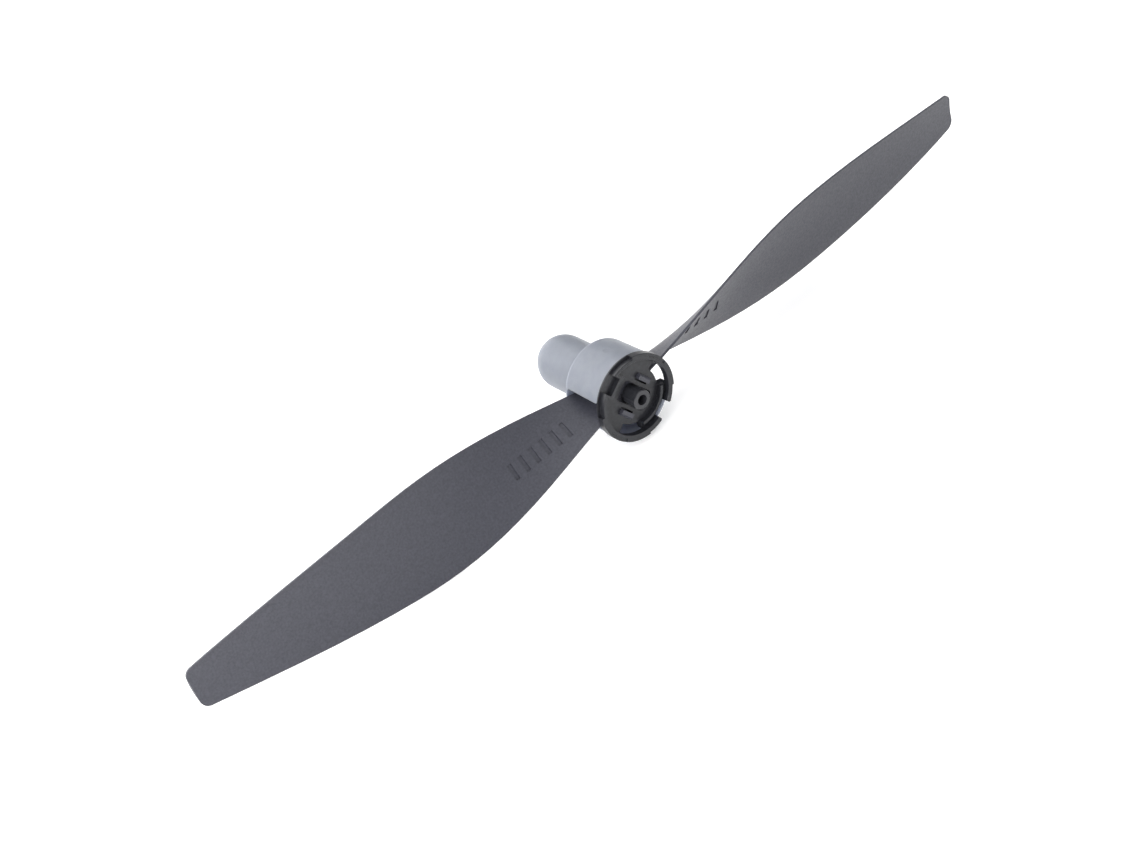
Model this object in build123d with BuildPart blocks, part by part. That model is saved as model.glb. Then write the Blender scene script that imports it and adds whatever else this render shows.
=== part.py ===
from build123d import *
import math
import os

# A two-blade propeller for a small model aeroplane, with its back plate and spinner.
# Frame: +Y is the way the spinner's nose points, along the axis that everything turns on.
# +X runs along one blade and +Z is up. The origin is on the axis, in the plane of the
# rim's rear face. A "height" is a distance forward from that plane. Millimetres.

# ---- driving dimensions ----
# Blades
propeller_diameter = 130.0
pitch = 70.0
root_axial_depth = 5.4  # how much of the axis the blade covers at its root
widest_radius = 31.0
widest_chord = 12.75
tip_chord = 5.4
sweep = 0.6  # how far the middle of a blade trails behind a straight line
blade_height = 4.43  # middle of the blade at its root
tip_rise = 3.3  # the tips stand this much further forward
rise_power = 2.3  # above 1, so most of the rise is near the tip
root_thickness = 0.95
middle_thickness = 0.75
tip_thickness = 0.55
edge_thickness = 0.3
thickest_share = 0.35  # the thickest place, from the middle towards the leading edge
hollow_share = 0.02  # depth of the hollow in the rear face, as a share of the chord
tip_corner_radius = 1.0

# Row of bars sunk into the rear face of each blade near its root
bar_count = 6
bar_spacing = 1.75
bar_width = 0.6
bar_length = 2.2
bar_depth = 0.15
first_bar_radius = 8.9
bar_offset = -0.4  # along the chord, towards the trailing edge

# Hub and the bush for the motor shaft
hub_radius = 3.3
hub_front = 6.9
bush_radius = 1.3
bush_flat = 1.15  # distance from the axis to the flat
bush_rear = -0.8
bush_length = 6.5
bush_chamfer = 0.1
shaft_diameter = 1.4

# Back plate
rim_radius = 5.82
rim_inner_radius = 4.95
rim_width = 1.0
flange_thickness = 0.18
floor_height = 0.9
floor_thickness = 0.9
plate_turn = 54.0  # angle from the blade to the notch; the lug is opposite the notch
notch_rim_radius = 5.62  # the rim is smaller beside the notch and beside the lug
notch_rim_half_angle = 36.0
lug_rim_radius = 5.42
lug_rim_half_angle = 47.0
notch_half_width = 1.12
notch_corner_radius = 0.9
rim_corner_radius = 0.3
wall_inner_radius = 3.76  # low wall behind the notch, and the wall of the lug
wall_thickness = 0.38
wall_rear = 0.18
wall_half_angle = 41.0
lug_half_width = 1.6
window_end_angle = 84.0  # the two windows start at the ends of the wall
opening_half_length = 2.4  # opening round the bush, in line with the notch
opening_corner_radius = 0.4
bush_gap = 0.08  # between the bush and the sides of that opening
step_half_angle = 15.5  # two shallow steps in the rear face of the rim
step_depth = 0.12
plate_edge_radius = 0.1

# Hooks that hold the back plate on the hub
hook_width = 2.0
hook_inner = 2.1  # distance from the axis to the inner side of a leg
hook_thickness = 0.5
hook_catch = 0.25
hook_rear = 0.35
hook_flex_room = 0.25

# Spinner
collar_radius = 5.62
collar_draft = 0.16  # the collar is this much smaller at its front
collar_front = 7.9
collar_fillet = 0.45
spinner_wall = 0.45
nose_radius = 3.57
nose_tip = 18.32
blade_slot_half_width = 2.25
blade_slot_end_gap = 0.3  # from the blade's root to the front end of the slot
blade_slot_corner = 0.6
dimple_height = 4.4  # a round moulding mark in the collar
dimple_angle = -84.0
dimple_radius = 0.55
dimple_depth = 0.12

# Clearances
running_clearance = 0.08
seat_gap = 0.03

# ---- values worked out from them ----
tip_radius = propeller_diameter / 2
collar_bore_radius = collar_radius - spinner_wall
spigot_radius = collar_bore_radius - running_clearance
plate_front = floor_height + floor_thickness
hub_rear = plate_front + seat_gap
hook_outer = hook_inner + hook_thickness
catch_height = floor_height - seat_gap
overshoot = 1.0  # how far a cutting tool runs past what it cuts


def across_axis(degrees):
    """Plane across the axis, facing the nose, with its x turned away from the +X blade."""
    turn = math.radians(degrees)
    return Plane(origin=(0, 0, 0), x_dir=(math.cos(turn), 0, -math.sin(turn)), z_dir=(0, 1, 0))


NOSE = across_axis(0)
NOTCH = across_axis(plate_turn)
LUG = across_axis(plate_turn + 180)
HOOKS = [across_axis(plate_turn + turn) for turn in (90, 270)]


def offset_all(planes, height):
    """The same planes, moved forward."""
    return [plane.offset(height) for plane in planes]


def pitch_angle(radius):
    """Angle of the blade's chord to the plane of rotation."""
    return math.atan(pitch / (2 * math.pi * radius))


def chord(radius):
    """Width of the blade: even inside the collar, widest part way out, narrow at the tip."""
    if radius <= collar_radius:
        return root_axial_depth / math.sin(pitch_angle(radius))
    if radius <= widest_radius:
        along = (radius - collar_radius) / (widest_radius - collar_radius)
        swell = math.sin(along * math.pi / 2) ** 1.2
        root = chord(collar_radius)
        return root + (widest_chord - root) * swell
    along = (radius - widest_radius) / (tip_radius - widest_radius)
    return widest_chord - (widest_chord - tip_chord) * along**1.5


def thickness(radius):
    """Greatest thickness of the blade, from the root to the widest place to the tip."""
    if radius <= widest_radius:
        along = (radius - hub_radius) / (widest_radius - hub_radius)
        return root_thickness + (middle_thickness - root_thickness) * along
    along = (radius - widest_radius) / (tip_radius - widest_radius)
    return middle_thickness + (tip_thickness - middle_thickness) * along


def chord_plane(radius):
    """Plane across the blade: x runs to the leading edge, y towards the nose."""
    angle = pitch_angle(radius)
    along = max(radius - hub_radius, 0) / (tip_radius - hub_radius)
    trailing = sweep * math.sin(along * math.pi) ** 2
    height = blade_height + tip_rise * along**rise_power - trailing * math.sin(angle)
    return Plane(
        origin=(radius, height, trailing * math.cos(angle)),
        x_dir=(0, math.sin(angle), -math.cos(angle)),
        z_dir=(1, 0, 0),
    )


def blade_section(radius, trim=0.0):
    """Section of the blade: hollow rear face, rounded front face, blunt edges."""
    half = chord(radius) / 2 - trim
    edge = edge_thickness / 2
    rear = hollow_share * chord(radius) - edge
    with BuildSketch(chord_plane(radius)) as section:
        with BuildLine():
            ThreePointArc((-half, -edge), (0, rear), (half, -edge))
            Line((half, -edge), (half, edge))
            Spline((half, edge), (half * thickest_share, rear + thickness(radius)), (-half, edge))
            Line((-half, edge), (-half, -edge))
        make_face()
    return section.sketch


# ---- propeller ----
blade_start = hub_radius - overshoot
section_count = 11
corner_start = tip_radius - tip_corner_radius
section_step = (corner_start - blade_start) / (section_count - 1)

with BuildPart() as blade:
    loft([blade_section(blade_start + index * section_step) for index in range(section_count)])
    # The square tip has round corners: its last sections narrow along a quarter circle.
    corner_sections = []
    for turn in (0, 30, 60, 90):
        reach = tip_corner_radius * math.sin(math.radians(turn))
        trim = tip_corner_radius * (1 - math.cos(math.radians(turn)))
        corner_sections.append(blade_section(corner_start + reach, trim))
    loft(corner_sections)
    for index in range(bar_count):
        bar_radius = first_bar_radius + index * bar_spacing
        bar_top = hollow_share * chord(bar_radius) - edge_thickness / 2 + bar_depth
        with BuildSketch(chord_plane(bar_radius).offset(-bar_width / 2)):
            with Locations((bar_offset, bar_top)):
                Rectangle(bar_length, overshoot, align=(Align.CENTER, Align.MAX))
        extrude(amount=bar_width, mode=Mode.SUBTRACT)

with BuildPart() as propeller:
    add(blade.part)
    add(blade.part.rotate(Axis.Y, 180))
    # The blade roots stop short of the back plate.
    with BuildSketch(NOSE.offset(-overshoot)):
        Circle(rim_radius + running_clearance)
    extrude(amount=overshoot + rim_width + seat_gap, mode=Mode.SUBTRACT)
    with BuildSketch(NOSE):
        Circle(collar_bore_radius)
    extrude(amount=hub_rear, mode=Mode.SUBTRACT)
    with BuildSketch(NOSE.offset(hub_rear)):
        Circle(hub_radius)
    extrude(amount=hub_front - hub_rear)
    # Two legs run back through the plate, and their hooks catch on its floor.
    with BuildSketch(*offset_all(HOOKS, hook_rear)):
        with Locations((hook_inner + hook_thickness / 2, 0)):
            Rectangle(hook_thickness, hook_width)
    extrude(amount=hub_rear - hook_rear)
    for hook in HOOKS:
        side = Plane(origin=(0, 0, 0), x_dir=hook.x_dir, z_dir=-hook.y_dir)
        with BuildSketch(side.offset(-hook_width / 2)):
            with BuildLine():
                Polyline(
                    (hook_outer, hook_rear),
                    (hook_outer + hook_catch, catch_height - hook_catch),
                    (hook_outer + hook_catch, catch_height),
                    (hook_outer, catch_height),
                    close=True,
                )
            make_face()
        extrude(amount=hook_width)
    # Keyed bore for the bush.
    with BuildSketch(LUG.offset(hub_rear)):
        Circle(bush_radius)
        with Locations((bush_flat + bush_radius / 2, 0)):
            Rectangle(bush_radius, 2 * bush_radius, mode=Mode.SUBTRACT)
    extrude(amount=hub_front - hub_rear, mode=Mode.SUBTRACT)

# ---- shaft bush ----
with BuildPart() as shaft_bush:
    with BuildSketch(LUG.offset(bush_rear)):
        Circle(bush_radius)
        with Locations((bush_flat + bush_radius / 2, 0)):
            Rectangle(bush_radius, 2 * bush_radius, mode=Mode.SUBTRACT)
    extrude(amount=bush_length)
    chamfer(shaft_bush.edges().group_by(Axis.Y)[0], bush_chamfer)
    with BuildSketch(LUG.offset(bush_rear)):
        Circle(shaft_diameter / 2)
    extrude(amount=bush_length, mode=Mode.SUBTRACT)

# ---- back plate ----
far = 2 * rim_radius  # well outside the plate


def wedge(start_angle, end_angle):
    """Triangle from the axis outwards, between two angles turned from local x."""
    ends = [math.tan(math.radians(angle)) * far for angle in (start_angle, end_angle)]
    Polygon((0, 0), (far, ends[0]), (far, ends[1]), align=None)


with BuildPart() as back_plate:
    with BuildSketch(NOSE):
        Circle(rim_radius)
        Circle(rim_inner_radius, mode=Mode.SUBTRACT)
    extrude(amount=rim_width)
    with BuildSketch(NOSE.offset(floor_height)):
        Circle(spigot_radius)
    extrude(amount=floor_thickness)
    # Beside the notch and the lug the rim is smaller, down to a thin flange.
    for plane, half_angle, radius in (
        (NOTCH, notch_rim_half_angle, notch_rim_radius),
        (LUG, lug_rim_half_angle, lug_rim_radius),
    ):
        with BuildSketch(plane):
            wedge(-half_angle, half_angle)
            Circle(radius, mode=Mode.SUBTRACT)
        extrude(amount=rim_width - flange_thickness, mode=Mode.SUBTRACT)
    # Low curved wall behind the notch.
    with BuildSketch(NOTCH.offset(wall_rear)):
        wedge(-wall_half_angle, wall_half_angle)
        Circle(wall_inner_radius + wall_thickness, mode=Mode.INTERSECT)
        Circle(wall_inner_radius, mode=Mode.SUBTRACT)
    extrude(amount=floor_height - wall_rear)
    # The lug: a curved wall with two side walls, round a pocket that opens outwards.
    with BuildSketch(LUG.offset(wall_rear)):
        with Locations((rim_inner_radius / 2, 0)):
            Rectangle(rim_inner_radius, 2 * lug_half_width)
        Circle(wall_inner_radius, mode=Mode.SUBTRACT)
    extrude(amount=floor_height - wall_rear)
    lug_room = wall_inner_radius + wall_thickness
    with BuildSketch(LUG):
        with Locations((lug_room + rim_radius / 2, 0)):
            Rectangle(rim_radius, 2 * (lug_half_width - wall_thickness))
    extrude(amount=rim_width - flange_thickness, mode=Mode.SUBTRACT)
    # The notch, open outwards and right through.
    with BuildSketch(NOTCH):
        with Locations((lug_room + rim_radius / 2, 0)):
            RectangleRounded(rim_radius, 2 * notch_half_width, notch_corner_radius)
    extrude(amount=plate_front, mode=Mode.SUBTRACT)
    # Round ends on the rim beside the notch.
    corner_side = notch_half_width + rim_corner_radius
    corner_reach = math.sqrt(notch_rim_radius**2 - corner_side**2)
    with BuildSketch(NOTCH):
        for side in (-1, 1):
            with Locations((corner_reach, side * notch_half_width)):
                Rectangle(2 * rim_corner_radius, 2 * rim_corner_radius)
        for side in (-1, 1):
            with Locations((corner_reach - rim_corner_radius, side * corner_side)):
                Circle(rim_corner_radius, mode=Mode.SUBTRACT)
    extrude(amount=rim_width, mode=Mode.SUBTRACT)
    # Two windows beside the wall, open to the collar.
    with BuildSketch(NOTCH.offset(floor_height)):
        wedge(wall_half_angle, window_end_angle)
        wedge(-window_end_angle, -wall_half_angle)
        Circle(collar_bore_radius, mode=Mode.INTERSECT)
        Circle(wall_inner_radius, mode=Mode.SUBTRACT)
    extrude(amount=floor_thickness, mode=Mode.SUBTRACT)
    # Slots for the hooks.
    with BuildSketch(*offset_all(HOOKS, floor_height)):
        slot_inner = hook_inner - hook_flex_room
        slot_outer = hook_outer + running_clearance
        with Locations(((slot_inner + slot_outer) / 2, 0)):
            Rectangle(slot_outer - slot_inner, hook_width + 2 * running_clearance)
    extrude(amount=floor_thickness, mode=Mode.SUBTRACT)
    # Opening round the bush.
    with BuildSketch(NOTCH.offset(floor_height)):
        RectangleRounded(
            2 * opening_half_length,
            2 * (bush_radius + bush_gap),
            opening_corner_radius,
        )
    extrude(amount=floor_thickness, mode=Mode.SUBTRACT)
    # Shallow steps in the rear face of the rim, in line with the hooks.
    with BuildSketch(*HOOKS):
        wedge(-step_half_angle, step_half_angle)
        Circle((rim_radius + rim_inner_radius) / 2, mode=Mode.SUBTRACT)
    extrude(amount=step_depth, mode=Mode.SUBTRACT)
    # Soft edges on the rear face of the rim.
    rear_face = back_plate.faces().filter_by(Axis.Y).sort_by(Axis.Y)[0]
    rim_arcs = rear_face.edges().filter_by(GeomType.CIRCLE)
    fillet(rim_arcs.filter_by(lambda arc: arc.radius > wall_inner_radius), plate_edge_radius)

# ---- spinner ----
def spinner_outline(shrink, start):
    """Half outline of the spinner, moved in from its outer surface by a wall."""
    inner_nose = nose_radius - shrink
    inner_front = collar_front - shrink
    with BuildSketch() as outline:
        with BuildLine():
            Polyline(
                (0, start),
                (collar_radius - shrink, start),
                (collar_radius - collar_draft - shrink, inner_front),
                (inner_nose, inner_front),
                (inner_nose, dome_height),
            )
            RadiusArc((inner_nose, dome_height), (0, dome_height + inner_nose), -inner_nose)
            Line((0, dome_height + inner_nose), (0, start))
        make_face()
        shoulder = outline.vertices().sort_by_distance((collar_radius, inner_front))[0]
        fillet(shoulder, collar_fillet)
    return outline.sketch


dome_height = nose_tip - nose_radius

with BuildPart() as spinner:
    add(spinner_outline(0, rim_width))
    revolve(axis=Axis.Y)
    add(spinner_outline(spinner_wall, rim_width - overshoot))
    revolve(axis=Axis.Y, mode=Mode.SUBTRACT)
    # A slot for each blade, open at the rear.
    blade_slot_front = blade_height + root_axial_depth / 2 + blade_slot_end_gap
    with BuildSketch(Plane.YZ):
        with Locations((blade_slot_front, 0)):
            RectangleRounded(
                2 * (blade_slot_front - rim_width),
                2 * blade_slot_half_width,
                blade_slot_corner,
                align=(Align.MAX, Align.CENTER),
            )
    extrude(amount=collar_radius + overshoot, both=True, mode=Mode.SUBTRACT)
    rear_corners = spinner.edges().filter_by(Axis.X).group_by(Axis.Y)[0]
    fillet(rear_corners, blade_slot_corner)
    # Round moulding mark.
    mark = across_axis(dimple_angle)
    mark_centre = mark.x_dir * collar_radius + NOSE.z_dir * dimple_height
    with BuildSketch(Plane(origin=mark_centre, x_dir=(0, 1, 0), z_dir=mark.x_dir)):
        Circle(dimple_radius)
    extrude(amount=-dimple_depth, mode=Mode.SUBTRACT)

os.makedirs("parts", exist_ok=True)
for name, made in (
    ("propeller", propeller),
    ("shaft_bush", shaft_bush),
    ("back_plate", back_plate),
    ("spinner", spinner),
):
    made.part.label = name
    export_step(made.part, f"parts/{name}.step")
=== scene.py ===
import bpy
from mathutils import Matrix, Vector


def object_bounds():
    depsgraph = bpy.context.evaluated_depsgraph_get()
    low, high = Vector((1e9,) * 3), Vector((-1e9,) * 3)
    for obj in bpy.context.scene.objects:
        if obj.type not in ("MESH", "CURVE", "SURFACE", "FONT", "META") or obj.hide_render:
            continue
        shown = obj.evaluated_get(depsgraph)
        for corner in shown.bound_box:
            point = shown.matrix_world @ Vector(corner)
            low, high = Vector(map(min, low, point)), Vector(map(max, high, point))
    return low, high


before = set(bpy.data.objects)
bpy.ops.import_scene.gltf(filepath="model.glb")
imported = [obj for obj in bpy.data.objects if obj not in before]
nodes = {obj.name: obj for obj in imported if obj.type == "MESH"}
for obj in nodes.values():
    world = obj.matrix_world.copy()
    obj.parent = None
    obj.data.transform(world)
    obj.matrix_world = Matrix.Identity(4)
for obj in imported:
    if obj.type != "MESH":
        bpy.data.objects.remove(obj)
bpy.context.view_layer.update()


# ---- materials ----
def new_material(name):
    """A new material, with its node tree and its Principled shader."""
    material = bpy.data.materials.new(name)
    material.use_nodes = True
    tree = material.node_tree
    shader = tree.nodes["Principled BSDF"]
    return material, tree, shader


def noise(tree, scale):
    """A noise over the piece's own coordinates. The scale is in waves per metre, roughly."""
    coordinates = tree.nodes.new("ShaderNodeTexCoord")
    texture = tree.nodes.new("ShaderNodeTexNoise")
    texture.inputs["Scale"].default_value = scale
    texture.inputs["Detail"].default_value = 2.0
    texture.inputs["Roughness"].default_value = 0.55
    tree.links.new(coordinates.outputs["Object"], texture.inputs["Vector"])
    return texture.outputs["Fac"]


def spread(tree, pattern, at_low, at_high):
    """The middle of a noise's range, stretched from one number to another."""
    node = tree.nodes.new("ShaderNodeMapRange")
    node.inputs["From Min"].default_value = 0.3
    node.inputs["From Max"].default_value = 0.7
    node.inputs["To Min"].default_value = at_low
    node.inputs["To Max"].default_value = at_high
    tree.links.new(pattern, node.inputs["Value"])
    return node.outputs["Result"]


def colour(tree, shader, pattern, dark, light):
    """The base colour, dark where the pattern is low and light where it is high."""
    mix = tree.nodes.new("ShaderNodeMix")
    mix.data_type = "RGBA"
    mix.inputs["A"].default_value = (*dark, 1.0)
    mix.inputs["B"].default_value = (*light, 1.0)
    tree.links.new(spread(tree, pattern, 0.0, 1.0), mix.inputs["Factor"])
    tree.links.new(mix.outputs["Result"], shader.inputs["Base Color"])


def bump(tree, shader, height, depth):
    """Relief from a height pattern. The depth is in metres."""
    node = tree.nodes.new("ShaderNodeBump")
    node.inputs["Strength"].default_value = 0.5
    node.inputs["Distance"].default_value = depth
    tree.links.new(height, node.inputs["Height"])
    tree.links.new(node.outputs["Normal"], shader.inputs["Normal"])


def moulded_plastic(name, dark, light, roughness, grain_scale, grain_depth, gloss=0.5):
    """Fine-grained moulding: pits in the surface, darker and rougher at the bottom of each pit."""
    material, tree, shader = new_material(name)
    grain = noise(tree, grain_scale)
    colour(tree, shader, grain, dark, light)
    smoothest, roughest = roughness
    tree.links.new(spread(tree, grain, roughest, smoothest), shader.inputs["Roughness"])
    shader.inputs["Specular IOR Level"].default_value = gloss
    bump(tree, shader, grain, grain_depth)
    return material


blade_plastic = moulded_plastic(
    "blade_plastic", dark=(0.032, 0.033, 0.044), light=(0.046, 0.047, 0.061),
    roughness=(0.4, 0.5), grain_scale=3500.0, grain_depth=0.00002)
plate_plastic = moulded_plastic(
    "plate_plastic", dark=(0.011, 0.0115, 0.0145), light=(0.019, 0.02, 0.024),
    roughness=(0.32, 0.4), grain_scale=2500.0, grain_depth=0.00001, gloss=0.4)
bush_plastic = moulded_plastic(
    "bush_plastic", dark=(0.018, 0.019, 0.023), light=(0.028, 0.029, 0.034),
    roughness=(0.3, 0.38), grain_scale=2500.0, grain_depth=0.00001)


def spinner_plastic():
    """Milky plastic: light scatters inside it, some goes through, and the skin is half matt."""
    material, tree, shader = new_material("spinner_plastic")
    cloud = noise(tree, 900.0)
    colour(tree, shader, cloud, (0.21, 0.227, 0.266), (0.235, 0.252, 0.291))
    shader.inputs["Roughness"].default_value = 0.42
    shader.inputs["Specular IOR Level"].default_value = 0.3
    shader.inputs["Transmission Weight"].default_value = 0.25
    shader.inputs["Subsurface Weight"].default_value = 1.0
    shader.inputs["Subsurface Radius"].default_value = (1.0, 1.0, 1.1)
    shader.inputs["Subsurface Scale"].default_value = 0.0012
    shader.inputs["IOR"].default_value = 1.49
    return material


def dress(node, material):
    node.data.materials.clear()
    node.data.materials.append(material)


dress(nodes["propeller"], blade_plastic)
dress(nodes["shaft_bush"], bush_plastic)
dress(nodes["back_plate"], plate_plastic)
dress(nodes["spinner"], spinner_plastic())

# ---- stage ----
lowest_corner, highest_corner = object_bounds()
ground = lowest_corner[2]
floor_size = 3.0


def make_floor():
    """A plain pale square under the part. It glows a little, so that shadows stay faint."""
    half = floor_size / 2
    corners = [
        (-half, -half, ground), (half, -half, ground),
        (half, half, ground), (-half, half, ground),
    ]
    mesh = bpy.data.meshes.new("floor")
    mesh.from_pydata(corners, [], [(0, 1, 2, 3)])
    floor = bpy.data.objects.new("floor", mesh)
    bpy.context.scene.collection.objects.link(floor)
    material, _, shader = new_material("floor")
    shader.inputs["Base Color"].default_value = (0.8, 0.8, 0.8, 1.0)
    shader.inputs["Roughness"].default_value = 0.9
    shader.inputs["Emission Color"].default_value = (1.0, 1.0, 1.0, 1.0)
    shader.inputs["Emission Strength"].default_value = 0.35
    floor.data.materials.append(material)


make_floor()

world = bpy.data.worlds.new("world")
bpy.context.scene.world = world
world.use_nodes = True
world.node_tree.nodes["Background"].inputs["Color"].default_value = (1.0, 1.0, 1.0, 1.0)
world.node_tree.nodes["Background"].inputs["Strength"].default_value = 0.6
bpy.context.scene.view_settings.view_transform = "Standard"


def area_light(name, place, size, power):
    """A square softbox that faces the part. The size is in metres and the power in watts."""
    data = bpy.data.lights.new(name, "AREA")
    data.size = size
    data.energy = power
    light = bpy.data.objects.new(name, data)
    light.location = place
    light.rotation_euler = (-Vector(place)).to_track_quat("-Z", "Y").to_euler()
    bpy.context.scene.collection.objects.link(light)


area_light("softbox_left", (-0.24, -0.12, 0.12), size=0.12, power=0.5)
area_light("softbox_beyond", (-0.15, 0.7, 0.4), size=1.0, power=7.0)
area_light("softbox_beyond_left", (-0.7, 0.45, 0.6), size=1.0, power=4.0)
area_light("softbox_above", (0.0, 0.0, 0.8), size=1.6, power=6.0)
area_light("softbox_near", (-0.5, -0.8, 0.7), size=1.2, power=1.5)

# ---- camera ----
camera_place = Vector((-0.129728, -0.230099, 0.189836))
camera_right = Vector((0.73326, -0.61532, -0.28931))
camera_up = Vector((0.56819, 0.32079, 0.7578))
camera_data = bpy.data.cameras.new("camera")
camera_data.sensor_width = 36.0
camera_data.lens = 82.88
camera_data.clip_start = 0.01
camera = bpy.data.objects.new("camera", camera_data)
back = camera_right.cross(camera_up).normalized()
up = back.cross(camera_right).normalized()
rotation = Matrix((camera_right.normalized(), up, back)).transposed().to_4x4()
camera.matrix_world = Matrix.Translation(camera_place) @ rotation
bpy.context.scene.collection.objects.link(camera)
bpy.context.scene.camera = camera
